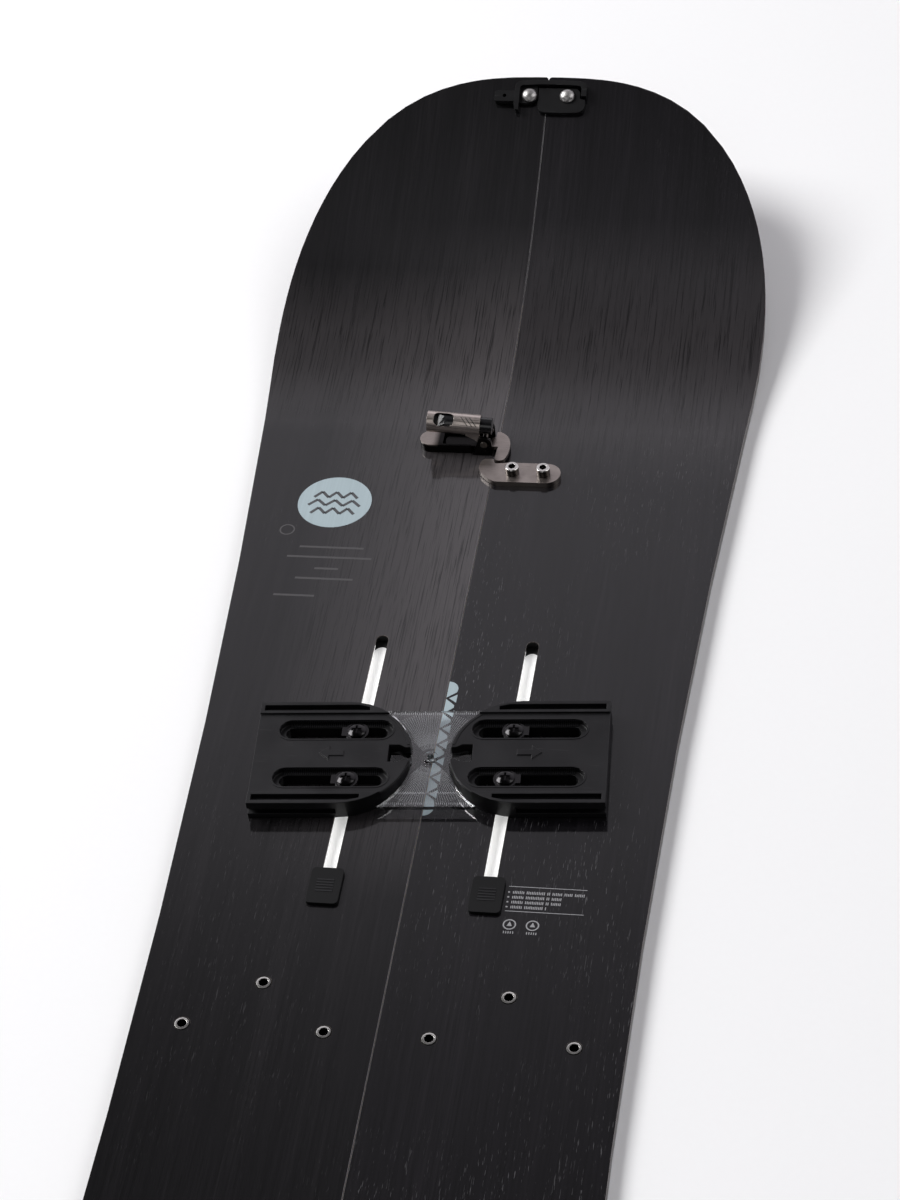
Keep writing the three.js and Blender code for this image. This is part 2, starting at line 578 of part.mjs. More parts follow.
function capBolt(x, y) {
  const hex = new THREE.CylinderGeometry(2.3, 2.3, 4, 6).rotateX(Math.PI / 2).translate(x, y, 8);
  return cut(turned(x, y, [[0, -4.8], [2.4, -4.8], [2.4, 3.45], [4.1, 3.45], [4.1, 8.1],
    [3.7, 8.5], [0, 8.5]], 20), toSolid(hex));
}

function buildJoiner(place, station) {
  const matrix = at(0, station.joiner, TOP);
  addPiece(`${place}_joiner_base`, joinerBase(), 'nickel', matrix);
  addPiece(`${place}_joiner_hook`, joinerHook(), 'nickel', matrix);
  const tilted = matrix.clone().multiply(at(PIVOT.x, 0, PIVOT.z))
    .multiply(new THREE.Matrix4().makeRotationY(REST_TILT)).multiply(at(-PIVOT.x, 0, -PIVOT.z));
  addPiece(`${place}_joiner_lever`, joinerLever(), 'nickel', tilted);
  addPiece(`${place}_joiner_slider`, joinerSlider(), 'clip', tilted);
  addPiece(`${place}_joiner_catch`, joinerCatch(), 'nickel', matrix);
  const heads = [[-9.2, -8.1], [8.1, 9.2]].map(([a, b]) => bar('y', [PIVOT.x, PIVOT.z], 2.2, a, b));
  const pin = join(bar('y', [PIVOT.x, PIVOT.z], 1.6, -8.6, 8.6), ...heads);
  addPiece(`${place}_joiner_pin`, pin, 'stainless', matrix);
  const bolts = CATCH_BOLTS.map(([x, y]) => withMatrix(capBolt(x, y), matrix));
  addPiece(`${place}_catch_bolts`, join(nutBar(station, 0), ...bolts), 'stainless');
}

// ---------------------------------------------------------------- assembly
for (const [side, s] of [['left', -1], ['right', 1]]) {
  halfBoard(side, s);
  buildPucks(side, s);
}
for (const [place, station] of [['front', FRONT], ['rear', REAR]]) {
  addPiece(`${place}_guide`, guideSolid(), 'clear', stanceMatrix(station, 1));
  buildJoiner(place, station);
}
buildClip('nose', NOSE);
buildClip('tail', TAIL);

export default group;
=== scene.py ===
"""Looks for the splitboard: materials on the CAD nodes, printed marks, fine moulded and machined
detail, floor, light and camera. Lengths are in millimetres until they meet Blender (MM)."""
import math

import bmesh
import bpy
from mathutils import Matrix, Vector


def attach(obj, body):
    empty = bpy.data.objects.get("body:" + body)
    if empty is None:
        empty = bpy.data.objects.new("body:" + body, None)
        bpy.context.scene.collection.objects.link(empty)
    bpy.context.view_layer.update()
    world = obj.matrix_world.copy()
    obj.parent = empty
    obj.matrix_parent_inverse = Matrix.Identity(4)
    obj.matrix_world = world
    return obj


MM = 0.001

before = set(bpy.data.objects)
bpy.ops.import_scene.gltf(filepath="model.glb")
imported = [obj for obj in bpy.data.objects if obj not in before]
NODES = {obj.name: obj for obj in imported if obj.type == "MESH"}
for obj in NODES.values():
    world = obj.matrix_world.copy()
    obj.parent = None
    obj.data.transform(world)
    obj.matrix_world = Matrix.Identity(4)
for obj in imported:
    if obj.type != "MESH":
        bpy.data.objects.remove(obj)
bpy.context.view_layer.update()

# ------------------------------------------------------------------ sizes shared with the CAD
TOP = 7.4                                   # topsheet height on the flat
TIP = 790.0                                 # seam length each way from the middle
NOSE_RISE, NOSE_RUN = 70.5, 264.0
TAIL_RISE, TAIL_RUN = 52.0, 237.0
POWER = 1.9
STANCES = {"front": 244.8, "rear": -315.2}
JOINERS = {"front": 507.3, "rear": -511.5}
TURN = math.radians(4.06)
CHANNEL_X, CHANNEL_END = 42.8, 98.6         # channel line, and its nose end beyond the stance
PLUG_BACK = 189.1                           # middle of a plug behind the channel's nose end
SLOT_U, SLOT_V, FIELD = 52.8, 17.7, 10.2    # puck slots, and the height of the puck's field
PUCK_ROUND = 48.4                           # centre of the puck's round end
GUIDE_R, GUIDE_CENTRE, GUIDE_HALF = 46.0, 55.8, 35.5    # concave sides and half length
TUBE_Z, TUBE_R = 16.5, 6.3
PIVOT = Vector((-6.5, 0, 9.0))
REST_TILT = math.radians(4)
CLIP_BACK, CLIP_FLAT = 14.2, 44.0


# ------------------------------------------------------------------ shader helpers
class Shader:
    """A Principled material built from nodes, with short names for the ones used here."""

    def __init__(self, name, color, roughness, metallic=0.0, **sockets):
        self.mat = bpy.data.materials.new(name)
        self.mat.use_nodes = True
        self.tree = self.mat.node_tree
        self.bsdf = next(n for n in self.tree.nodes if n.type == "BSDF_PRINCIPLED")
        self.bsdf.inputs["Base Color"].default_value = (*color, 1)
        self.bsdf.inputs["Roughness"].default_value = roughness
        self.bsdf.inputs["Metallic"].default_value = metallic
        for key, value in sockets.items():
            self.bsdf.inputs[key.replace("_", " ")].default_value = value
        self.place = self.node("ShaderNodeTexCoord").outputs["Object"]

    def node(self, kind, **settings):
        n = self.tree.nodes.new(kind)
        for key, value in settings.items():
            setattr(n, key, value)
        return n

    def feed(self, socket, value):
        if isinstance(value, bpy.types.NodeSocket):
            self.tree.links.new(value, socket)
        else:
            socket.default_value = value

    def stretch(self, sx, sy, sz):
        """Object position in metres, scaled along each axis."""
        n = self.node("ShaderNodeMapping")
        self.feed(n.inputs["Vector"], self.place)
        n.inputs["Scale"].default_value = (sx, sy, sz)
        return n.outputs["Vector"]

    def noise(self, vector, scale=1.0, detail=3.0, roughness=0.55):
        n = self.node("ShaderNodeTexNoise")
        self.feed(n.inputs["Vector"], vector)
        n.inputs["Scale"].default_value = scale
        n.inputs["Detail"].default_value = detail
        n.inputs["Roughness"].default_value = roughness
        return n.outputs["Fac"]

    def math(self, operation, a, b=0.0):
        n = self.node("ShaderNodeMath", operation=operation)
        self.feed(n.inputs[0], a)
        self.feed(n.inputs[1], b)
        return n.outputs[0]

    def span(self, value, low, high, out_low=0.0, out_high=1.0):
        n = self.node("ShaderNodeMapRange", clamp=True)
        for socket, v in zip(n.inputs[:5], (value, low, high, out_low, out_high)):
            self.feed(socket, v)
        return n.outputs[0]

    def ramp(self, factor, stops):
        n = self.node("ShaderNodeValToRGB")
        band = n.color_ramp
        while len(band.elements) < len(stops):
            band.elements.new(0.5)
        for element, (position, color) in zip(band.elements, stops):
            element.position = position
            element.color = (*color, 1)
        self.feed(n.inputs["Fac"], factor)
        return n.outputs["Color"]

    def mix(self, factor, a, b):
        n = self.node("ShaderNodeMix", data_type="RGBA")
        self.feed(n.inputs[0], factor)
        self.feed(n.inputs[6], a if isinstance(a, bpy.types.NodeSocket) else (*a, 1))
        self.feed(n.inputs[7], b if isinstance(b, bpy.types.NodeSocket) else (*b, 1))
        return n.outputs[2]

    def bump(self, height, strength, distance_mm, normal=None):
        n = self.node("ShaderNodeBump")
        n.inputs["Strength"].default_value = strength
        n.inputs["Distance"].default_value = distance_mm * MM
        self.feed(n.inputs["Height"], height)
        if normal is not None:
            self.feed(n.inputs["Normal"], normal)
        return n.outputs["Normal"]

    def axis(self, name):
        if not hasattr(self, "_xyz"):
            n = self.node("ShaderNodeSeparateXYZ")
            self.feed(n.inputs[0], self.place)
            self._xyz = n.outputs
        return self._xyz[name]

    def use(self, **links):
        for key, value in links.items():
            self.feed(self.bsdf.inputs[key.replace("_", " ")], value)
        return self


def facing(s, name):
    """One component of the flat face normal."""
    parts = s.node("ShaderNodeSeparateXYZ")
    s.feed(parts.inputs[0], s.node("ShaderNodeNewGeometry").outputs["True Normal"])
    return parts.outputs[name]


def tip_normal(s):
    """Smooth normal of the topsheet: flat in the middle, following the rise curve at both tips."""
    y = s.axis("Y")
    slopes = []
    for sign, rise, run in ((1, NOSE_RISE, NOSE_RUN), (-1, TAIL_RISE, TAIL_RUN)):
        edge = (TIP - run) * MM
        reach = s.span(s.math("MULTIPLY", y, sign), edge, TIP * MM)
        slope = s.math("MULTIPLY", s.math("POWER", reach, POWER - 1), -sign * rise * POWER / run)
        slopes.append(slope)
    join = s.node("ShaderNodeCombineXYZ")
    s.feed(join.inputs["Y"], s.math("ADD", *slopes))
    join.inputs["Z"].default_value = 1
    unit = s.node("ShaderNodeVectorMath", operation="NORMALIZE")
    s.feed(unit.inputs[0], join.outputs[0])
    shape = s.node("ShaderNodeNewGeometry")
    blend = s.node("ShaderNodeMix", data_type="VECTOR")
    s.feed(blend.inputs[0], s.span(facing(s, "Z"), 0.8, 0.86))
    s.feed(blend.inputs[4], shape.outputs["Normal"])
    s.feed(blend.inputs[5], unit.outputs[0])
    return blend.outputs[1]


PAINTED_SHEEN = (0.088, 0.08, 0.083)                 # painted sheen: a pale satin tone under the gloss that stands in for reflected light
SEAM_SHEEN_Y, NOSE_SHEEN_Y = 0.42, 0.585      # where the two patches of painted sheen are centred, metres


def topsheet(name, dark, light, haze, fleck_amount, seam_sheen, nose_reach, rim_amount):
    """Black stained veneer with fine grain along the board, under clear gloss, with two patches of
    painted sheen that stand in for reflected light.
    nose_reach is where the painted sheen at the start of the nose ends, in metres from its centre."""
    s = Shader(name, dark, 0.5, Coat_Weight=1.0, Coat_Roughness=0.09, Coat_IOR=1.5,
               Specular_IOR_Level=0.04)
    bands = s.noise(s.stretch(42, 1.6, 4), 1.0, 4, 0.6)
    fine = s.noise(s.stretch(620, 9, 30), 1.0, 3, 0.6)
    pores = s.noise(s.stretch(1500, 34, 60), 1.0, 2, 0.5)
    tone = s.math("ADD", s.math("MULTIPLY", bands, 0.55), s.math("MULTIPLY", fine, 0.45))
    wood = s.ramp(tone, [(0.36, dark), (0.52, light), (0.66, haze)])
    pore = s.span(pores, 0.60, 0.70)
    # painted sheen, standing in for a reflected softbox, that fades away from the seam over the
    # middle of the board
    side = s.span(s.math("ABSOLUTE", s.axis("X")), 0.0, 0.105, seam_sheen, 0.0)
    far = s.span(s.math("ABSOLUTE", s.math("SUBTRACT", s.axis("Y"), SEAM_SHEEN_Y)),
                 0.14, 0.27, 1.0, 0.0)
    wood = s.mix(s.math("MULTIPLY", side, far), wood, PAINTED_SHEEN)
    # and a second patch of painted sheen across the start of the nose
    rise = s.math("ABSOLUTE", s.math("SUBTRACT", s.axis("Y"), NOSE_SHEEN_Y))
    wood = s.mix(s.span(rise, 0.02, nose_reach, 0.3, 0.0), wood, PAINTED_SHEEN)
    streak = s.span(s.noise(s.stretch(1000, 19, 30), 1.0, 3, 0.65), 0.52, 0.66)
    wood = s.mix(s.math("MULTIPLY", streak, 0.66), wood, tuple(0.5 * c for c in dark))
    wood = s.mix(s.math("MULTIPLY", pore, 0.7), wood, tuple(0.35 * c for c in dark))
    # pale flecks where the stain missed the open grain, in loose patches
    patch = s.span(s.noise(s.stretch(11, 4.5, 4), 1.0, 2, 0.5), 0.40, 0.62)
    patch = s.math("MULTIPLY", patch, s.span(s.math("ABSOLUTE", s.axis("Y")), 0.42, 0.56, 1.0, 0.12))
    fleck = s.span(s.noise(s.stretch(1700, 120, 60), 1.0, 2, 0.55), 0.65, 0.70)
    wood = s.mix(s.math("MULTIPLY", s.math("MULTIPLY", fleck, patch), fleck_amount),
                 wood, (0.15, 0.148, 0.155))
    # the broken edge: pale along the seam, a painted highlight on the chamfer, plum round the outside
    # of the tips, brown elsewhere
    outer = s.span(s.math("ABSOLUTE", s.axis("X")), 0.003, 0.006)
    tips = s.math("MULTIPLY", s.span(s.math("ABSOLUTE", s.axis("Y")), 0.60, 0.66), outer)
    rim = s.mix(outer, (0.33, 0.32, 0.325), (0.15, 0.13, 0.12))
    rim = s.mix(tips, rim, (0.16, 0.048, 0.09))
    chamfer = s.span(facing(s, "Z"), 0.80, 0.86, rim_amount, 0.0)
    wood = s.mix(chamfer, wood, rim)
    rough = s.span(fine, 0.3, 0.7, 0.42, 0.58)
    smooth = tip_normal(s)
    grain = s.bump(s.math("SUBTRACT", fine, s.math("MULTIPLY", pore, 0.8)), 0.5, 0.05, smooth)
    coat = s.math("SUBTRACT", s.math("MULTIPLY", fine, 0.7), s.math("MULTIPLY", pore, 0.35))
    return s.use(Base_Color=wood, Roughness=rough, Normal=grain,
                 Coat_Normal=s.bump(coat, 0.3, 0.03, smooth)).mat


def moulded(name, color, roughness, grain_mm=0.35, depth=0.5, wear=0.0, **sockets):
    """Moulded plastic or rubber: fine pebble, soft tone change and, with wear, faint rub marks."""
    s = Shader(name, color, roughness, **sockets)
    pebble = s.noise(s.stretch(1, 1, 1), 1 / (grain_mm * MM), 2, 0.6)
    cloud = s.noise(s.stretch(1, 1, 1), 45, 3, 0.5)
    tone = s.mix(s.span(cloud, 0.35, 0.7), tuple(0.82 * c for c in color),
                 tuple(1.18 * c for c in color))
    if wear:
        rub = s.span(s.noise(s.stretch(60, 900, 900), 1.0, 2, 0.6), 0.66, 0.72)
        tone = s.mix(s.math("MULTIPLY", rub, wear), tone, tuple(c + 0.05 for c in color))
    rough = s.span(cloud, 0.3, 0.7, roughness - 0.06, roughness + 0.08)
    return s.use(Base_Color=tone, Roughness=rough, Normal=s.bump(pebble, depth, 0.03)).mat


def metal(name, color, roughness, along="X", brush=0.35, **sockets):
    """Plated or polished metal with fine drawing lines and slight tarnish."""
    s = Shader(name, color, roughness, 1.0, **sockets)
    scales = {"X": (40, 1800, 1800), "Y": (1800, 40, 1800)}[along]
    lines = s.noise(s.stretch(*scales), 1.0, 2, 0.6)
    cloud = s.noise(s.stretch(1, 1, 1), 120, 3, 0.55)
    tone = s.mix(s.span(cloud, 0.35, 0.7), tuple(0.86 * c for c in color),
                 tuple(min(1, 1.08 * c) for c in color))
    rough = s.span(lines, 0.3, 0.7, roughness * 0.8, roughness * 1.35)
    return s.use(Base_Color=tone, Roughness=rough, Normal=s.bump(lines, brush * 0.3, 0.01)).mat


def stepped(name, low, high, z0, z1, rough_low, rough_high, brush=0.1):
    """Metal whose colour and polish change with height, between z0 and z1 above the topsheet."""
    s = Shader(name, high, rough_high, 1.0)
    lines = s.noise(s.stretch(1800, 40, 1800), 1.0, 2, 0.6)
    cloud = s.noise(s.stretch(1, 1, 1), 140, 3, 0.55)
    step = s.span(s.axis("Z"), (TOP + z0) * MM, (TOP + z1) * MM)
    tone = s.mix(step, low, s.mix(s.span(cloud, 0.35, 0.7), tuple(0.85 * c for c in high), high))
    rough = s.span(step, 0, 1, rough_low, rough_high)
    return s.use(Base_Color=tone, Roughness=rough, Normal=s.bump(lines, brush * 0.3, 0.01)).mat


def joiner_plate(name, color, bright_end, dark_end, floor_mm):
    """Nickel with painted shade: near black under the lever and low down, standing in for the lever's
    shadow and the dark board it reflects; bright at x = bright_end, dark from dark_end on, and dark
    below floor_mm above the topsheet."""
    s = Shader(name, color, 0.3, 1.0)
    lines = s.noise(s.stretch(40, 1800, 1800), 1.0, 2, 0.6)
    cloud = s.noise(s.stretch(1, 1, 1), 120, 3, 0.55)
    bright = s.mix(s.span(cloud, 0.35, 0.7), tuple(0.86 * c for c in color), color)
    # painted shade: masks by x under the lever and by height near the topsheet
    under = s.span(s.axis("X"), bright_end * MM, dark_end * MM)
    low = s.span(s.axis("Z"), (TOP + floor_mm) * MM, (TOP + floor_mm + 0.8) * MM, 1.0, 0.0)
    tone = s.mix(s.math("MAXIMUM", under, low), bright, (0.014, 0.013, 0.013))
    return s.use(Base_Color=tone, Roughness=s.span(lines, 0.3, 0.7, 0.24, 0.38),
                 Normal=s.bump(lines, 0.04, 0.01)).mat


def track(name):
    """White moulded channel with a slight painted glow from emission, and painted shade, near black,
    in the loading pocket at its nose end where the topsheet's end shades it.
    """
    s = Shader(name, (0.93, 0.93, 0.92), 0.42, Emission_Strength=0.22)
    pebble = s.noise(s.stretch(1, 1, 1), 1600, 2, 0.6)
    painted_shade_end = 0.0
    across = s.math("SUBTRACT", s.math("ABSOLUTE", s.axis("X")), CHANNEL_X * MM)
    along = s.math("ADD", s.axis("Y"), s.math("MULTIPLY", s.math("MULTIPLY", across, across), 160.0))
    for stance in STANCES.values():
        end = (stance + CHANNEL_END) * MM
        near = s.span(s.math("ABSOLUTE", s.math("SUBTRACT", along, end)), 0.0048, 0.0051, 1, 0)
        painted_shade_end = s.math("ADD", painted_shade_end, near)
    white = s.mix(pebble, (0.91, 0.91, 0.90), (0.95, 0.95, 0.94))
    # painted shade, near black, at the nose end; painted glow on the white everywhere else
    tone = s.mix(painted_shade_end, white, (0.006, 0.006, 0.006))
    painted_glow = s.mix(painted_shade_end, (1, 1, 1), (0, 0, 0))
    return s.use(Base_Color=tone, Emission_Color=painted_glow, Normal=s.bump(pebble, 0.15, 0.03)).mat


def printed(name, color):
    """Screen printed ink under the gloss, slightly uneven over the grain."""
    s = Shader(name, color, 0.45, Coat_Weight=0.9, Coat_Roughness=0.075)
    fine = s.noise(s.stretch(620, 9, 30), 1.0, 3, 0.6)
    ink = s.mix(s.span(fine, 0.35, 0.7), tuple(0.9 * c for c in color), color)
    return s.use(Base_Color=ink, Normal=s.bump(fine, 0.12, 0.02)).mat


def clear_plastic(name):
    s = Shader(name, (0.95, 0.96, 0.97), 0.04, Transmission_Weight=1.0, IOR=1.46)
    swirl = s.noise(s.stretch(1, 1, 1), 90, 2, 0.5)
    rough = s.span(swirl, 0.3, 0.7, 0.02, 0.06)
    return s.use(Roughness=rough, Normal=s.bump(swirl, 0.06, 0.1)).mat


def core_wood(name):
    s = Shader(name, (0.55, 0.36, 0.18), 0.6)
    strips = s.noise(s.stretch(60, 3, 3), 1.0, 4, 0.6)
    return s.use(Base_Color=s.ramp(strips, [(0.3, (0.42, 0.26, 0.12)), (0.7, (0.68, 0.48, 0.27))]),
                 Normal=s.bump(strips, 0.2, 0.1)).mat


NICKEL = (0.36, 0.318, 0.295)

MATERIALS = {
    "left_topsheet": topsheet("topsheet_left", (0.0018, 0.0016, 0.002), (0.0038, 0.0034, 0.0041),
                              (0.008, 0.0072, 0.0082), 0.13, 0.62, 0.07, 0.9),
    "right_topsheet": topsheet("topsheet_right", (0.0024, 0.0021, 0.0027), (0.0046, 0.004, 0.0052),
                               (0.0085, 0.0074, 0.009), 0.5, 0.0, 0.11, 0.75),
    "core": core_wood("core_wood"),
    "base": moulded("running_base", (0.012, 0.012, 0.013), 0.38, 0.8, 0.25, 0.3),
    "steel_edge": metal("edge_steel", (0.52, 0.52, 0.53), 0.32, "Y"),
    "sidewall": moulded("sidewall_plastic", (0.06, 0.05, 0.045), 0.36, 0.5, 0.3, 0.4),
    "spacer": moulded("spacer_plum", (0.085, 0.02, 0.055), 0.42, 0.5, 0.3),
    "track": track("track_white"),
    "plug": moulded("plug_rubber", (0.0048, 0.0048, 0.0052), 0.62, 0.3, 0.6,
                    Specular_IOR_Level=0.16),
    "puck": moulded("puck_nylon", (0.0045, 0.0043, 0.0052), 0.4, 0.22, 0.45, 0.25,
                    Specular_IOR_Level=0.3),
    "clamp": stepped("clamp_black_zinc", (0.06, 0.058, 0.06), (0.03, 0.029, 0.03), 8.66, 8.74,
                     0.36, 0.16),
    "insert": stepped("insert_steel", (0.008, 0.008, 0.008), (0.75, 0.74, 0.7), 0.18, 0.23,
                      0.5, 0.16),
    # painted shade: the catch bolts are near black below the top of the head, standing in for the
    # dark board their sides reflect
    "bolt": stepped("catch_bolt_steel", (0.07, 0.066, 0.062), (0.72, 0.7, 0.67), 7.6, 8.1, 0.22, 0.2),
    "rivet": metal("rivet_satin", (0.46, 0.45, 0.44), 0.36, "X", 0.1),
    "pin": metal("pin_dark", (0.16, 0.145, 0.13), 0.3, "Y", 0.08),
    "nickel": metal("black_nickel", NICKEL, 0.32, "X", 0.12),
    "lever": metal("lever_nickel", (0.58, 0.515, 0.475), 0.3, "X", 0.12),
    # the base and hook plates carry painted shade under the lever
    "joiner_plate": joiner_plate("joiner_base_nickel", NICKEL, -38.5, -34.5, 4.6),
    "hook": joiner_plate("joiner_hook_nickel", NICKEL, -1.0, -4.0, 1.0),
    "clip": moulded("clip_nylon", (0.0055, 0.0053, 0.006), 0.46, 0.25, 0.5, 0.3,
                    Specular_IOR_Level=0.17),
    "slider": moulded("slider_black", (0.008, 0.008, 0.009), 0.16, 0.3, 0.2),
    "clear": clear_plastic("guide_clear"),
    "ink": printed("ink_pale_blue", (0.36, 0.45, 0.48)),
    "faint_ink": printed("ink_faint", (0.026, 0.024, 0.0245)),
    "grey_ink": printed("ink_grey", (0.3, 0.3, 0.31)),
    "dark_ink": printed("ink_dark", (0.03, 0.033, 0.036)),
    "mark": moulded("moulded_mark", (0.005, 0.005, 0.006), 0.3, 0.22, 0.3),
    "engraving": moulded("engraved_lines", (0.03, 0.027, 0.026), 0.5, 0.3, 0.3),
    "frosted": moulded("guide_frost", (0.5, 0.51, 0.53), 0.45, 0.4, 0.3, Alpha=0.5),
}

# the material of a CAD node is that of the first of these that its name holds
KINDS = [("left_topsheet", "left_topsheet"), ("right_topsheet", "right_topsheet"),
         ("puck_clamp", "clamp"), ("_puck", "puck"), ("_core", "core"),
         ("steel_edge", "steel_edge"), ("sidewall", "sidewall"), ("spacer", "spacer"),
         ("channel_track", "track"), ("channel_plug", "plug"), ("insert", "insert"),
         ("rivet", "rivet"), ("clip_", "clip"), ("_pin", "pin"), ("catch_bolts", "bolt"),
         ("slider", "slider"), ("joiner_base", "joiner_plate"), ("joiner_hook", "hook"),
         ("joiner_lever", "lever"), ("joiner", "nickel"), ("guide", "clear"), ("_base", "base")]
# flat sheets of the laminate, which keep their facets
LAMINATE = {"core", "base", "steel_edge", "sidewall", "spacer", "track"}
# width of the edge break on each material
BREAK_MM = {"puck": 0.45, "clip": 0.4, "plug": 0.5, "nickel": 0.2, "lever": 0.2,
            "joiner_plate": 0.2, "hook": 0.2,
            "bolt": 0.12, "insert": 0.1, "pin": 0.1, "rivet": 0.15, "clamp": 0.15,
            "slider": 0.3, "left_topsheet": 0.3, "right_topsheet": 0.3}


WELD = 0.000005                             # metres
CRISP = math.radians(34)                    # edges sharper than this stay crisp


def dress(name, obj):
    """Material, edge break and clean shading on a CAD node."""
    key = next(k for part, k in KINDS if part in name)
    obj.data.materials.clear()
    obj.data.materials.append(MATERIALS[key])
    if key in LAMINATE:
        obj.data.polygons.foreach_set("use_smooth", [False] * len(obj.data.polygons))
        return
    obj.data.polygons.foreach_set("use_smooth", [True] * len(obj.data.polygons))
    if "custom_normal" in obj.data.attributes:
        obj.data.attributes.remove(obj.data.attributes["custom_normal"])
    weld = obj.modifiers.new("weld", "WELD")
    weld.merge_threshold = WELD
    if key in BREAK_MM:
        bevel = obj.modifiers.new("edge_break", "BEVEL")
        bevel.width = BREAK_MM[key] * MM
        flat = "topsheet" in key             # a plain chamfer, only on its outline
        bevel.segments = 1 if flat else 3
        bevel.limit_method = "ANGLE"
        bevel.angle_limit = math.radians(50 if flat else 38)
    split = obj.modifiers.new("crisp", "EDGE_SPLIT")
    split.split_angle = CRISP
    level = obj.modifiers.new("level", "WEIGHTED_NORMAL")
    level.weight = 70


for node_name, node_obj in NODES.items():
    dress(node_name, node_obj)


# ------------------------------------------------------------------ piece helpers
def new_piece(name, mesh_builder, material, body, matrix=None, smooth=None):
    """A closed mesh piece built by mesh_builder(bm) in millimetres, riding on a CAD body.
    smooth is the angle in degrees above which its edges stay crisp; without it, it is faceted."""
    bm = bmesh.new()
    mesh_builder(bm)
    bmesh.ops.recalc_face_normals(bm, faces=bm.faces)
    mesh = bpy.data.meshes.new(name)
    bm.to_mesh(mesh)
    bm.free()
    mesh.transform(matrix or Matrix.Identity(4))
    mesh.transform(Matrix.Scale(MM, 4))
    mesh.materials.append(MATERIALS[material])
    obj = bpy.data.objects.new(name, mesh)
    bpy.context.scene.collection.objects.link(obj)
    if smooth is not None:
        mesh.polygons.foreach_set("use_smooth", [True] * len(mesh.polygons))
        split = obj.modifiers.new("crisp", "EDGE_SPLIT")
        split.split_angle = math.radians(smooth)
    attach(obj, body)
    return obj


def prism(bm, points, z0, z1):
    """Closed prism over a flat outline."""
    low = [bm.verts.new((x, y, z0)) for x, y in points]
    high = [bm.verts.new((x, y, z1)) for x, y in points]
    bm.faces.new(list(reversed(low)))
    bm.faces.new(high)
    for i in range(len(points)):
        j = (i + 1) % len(points)
        bm.faces.new((low[i], low[j], high[j], high[i]))


def bar(bm, a, b, width, z0, z1):
    """Thin straight bar between two points."""
    ax, ay = a
    bx, by = b
    length = math.hypot(bx - ax, by - ay)
    nx, ny = -(by - ay) / length * width / 2, (bx - ax) / length * width / 2
    prism(bm, [(ax + nx, ay + ny), (ax - nx, ay - ny), (bx - nx, by - ny), (bx + nx, by + ny)],
          z0, z1)


def circle(cx, cy, r, count):
    return [(cx + r * math.cos(2 * math.pi * i / count),
             cy + r * math.sin(2 * math.pi * i / count)) for i in range(count)]


def ring(bm, inner, outer, z0, z1):
    """Closed ring between two outlines with as many points."""
    for i in range(len(inner)):
        j = (i + 1) % len(inner)
        prism(bm, [outer[i], outer[j], inner[j], inner[i]], z0, z1)


INK0, INK1 = TOP - 0.02, TOP + 0.03          # ink film on the topsheet


def stance_matrix(place, side):
    turn = TURN + (0 if side > 0 else math.pi)
    return Matrix.Translation((0, STANCES[place], TOP)) @ Matrix.Rotation(turn, 4, "Z")


# ------------------------------------------------------------------ printed marks
SCALE_TOP, SCALE_FIRST, SCALE_PITCH, SCALE_END = 64.3, 51.4, 12.15, -36.5
SCALE_WIDE, SCALE_GAP, SCALE_TEETH = 6.0, 0.55, 7
SCALE_FLANK = 4.3                            # half opening of a V at the outer side of the row
SCALE_CAP, SCALE_FOOT = 5.5, 7               # height of the rounded ends
BADGE_X, BADGE_Y, BADGE_R = -90.0, 453.2, 22.0


def stance_scale(bm, stance):
    """Row of teeth against the seam with a wedge between each pair, and rounded ends."""
    apexes = [stance + SCALE_FIRST - SCALE_PITCH * i for i in range(SCALE_TEETH)]
    x0, x1, g, flank = 0.35, SCALE_WIDE, SCALE_GAP, SCALE_FLANK
    top, low = stance + SCALE_TOP, stance + SCALE_END
    quarter = [math.radians(a) for a in range(0, 91, 10)]
    cap = [(x0 + (x1 - x0) * math.sin(a), top - SCALE_CAP * (1 - math.cos(a))) for a in quarter]
    prism(bm, [(x0, apexes[0] + g)] + [(x1 - 0.4, apexes[0] + flank + 0.6)] + cap[::-1], INK0, INK1)
    for high, under in zip(apexes, apexes[1:]):
        prism(bm, [(x0, high - g), (x0, under + g), (x1 - 1.6, under + flank - 0.2),
                   (x1 - 0.5, under + flank + 0.9), (x1 - 0.5, high - flank - 0.9),
                   (x1 - 1.6, high - flank + 0.2)], INK0, INK1)
    foot = [(x0 + (x1 - x0) * math.cos(a), low + SCALE_FOOT - SCALE_FOOT * math.sin(a))
            for a in quarter]
    prism(bm, [(x0, apexes[-1] - g), (x1 - 0.8, apexes[-1] - flank)] + foot, INK0, INK1)
    for y in apexes:
        prism(bm, [(x0 + 1.5, y), (x1 + 0.2, y + flank - 1.2), (x1 + 0.2, y - flank + 1.2)],
              INK0, INK1)


def badge_disc(bm):
    prism(bm, circle(BADGE_X, BADGE_Y, BADGE_R, 72), INK0, INK1)


def badge_lines(bm):
    """Three plain zigzag lines across the disc."""
    for dy, span in ((5.5, 13.0), (-1.5, 15.5), (-8.5, 13.0)):
        points = [(BADGE_X + span * (k / 3 - 1), BADGE_Y + dy + (3.4 if k % 2 else -1.6))
                  for k in range(7)]
        for a, b in zip(points, points[1:]):
            bar(bm, a, b, 1.9, INK1 - 0.01, INK1 + 0.02)


def faint_marks(bm):
    """Low contrast rule lines and a small ring below the badge."""
    for y, x0, x1 in ((414, -104, -66), (405.5, -110, -60), (396, -92, -78), (387.5, -102, -68),
                      (373, -112, -88)):
        bar(bm, (x0, y), (x1, y), 1.6, INK0, INK1)
    ring(bm, circle(-114, 428, 3.7, 28), circle(-114, 428, 4.6, 28), INK0, INK1)


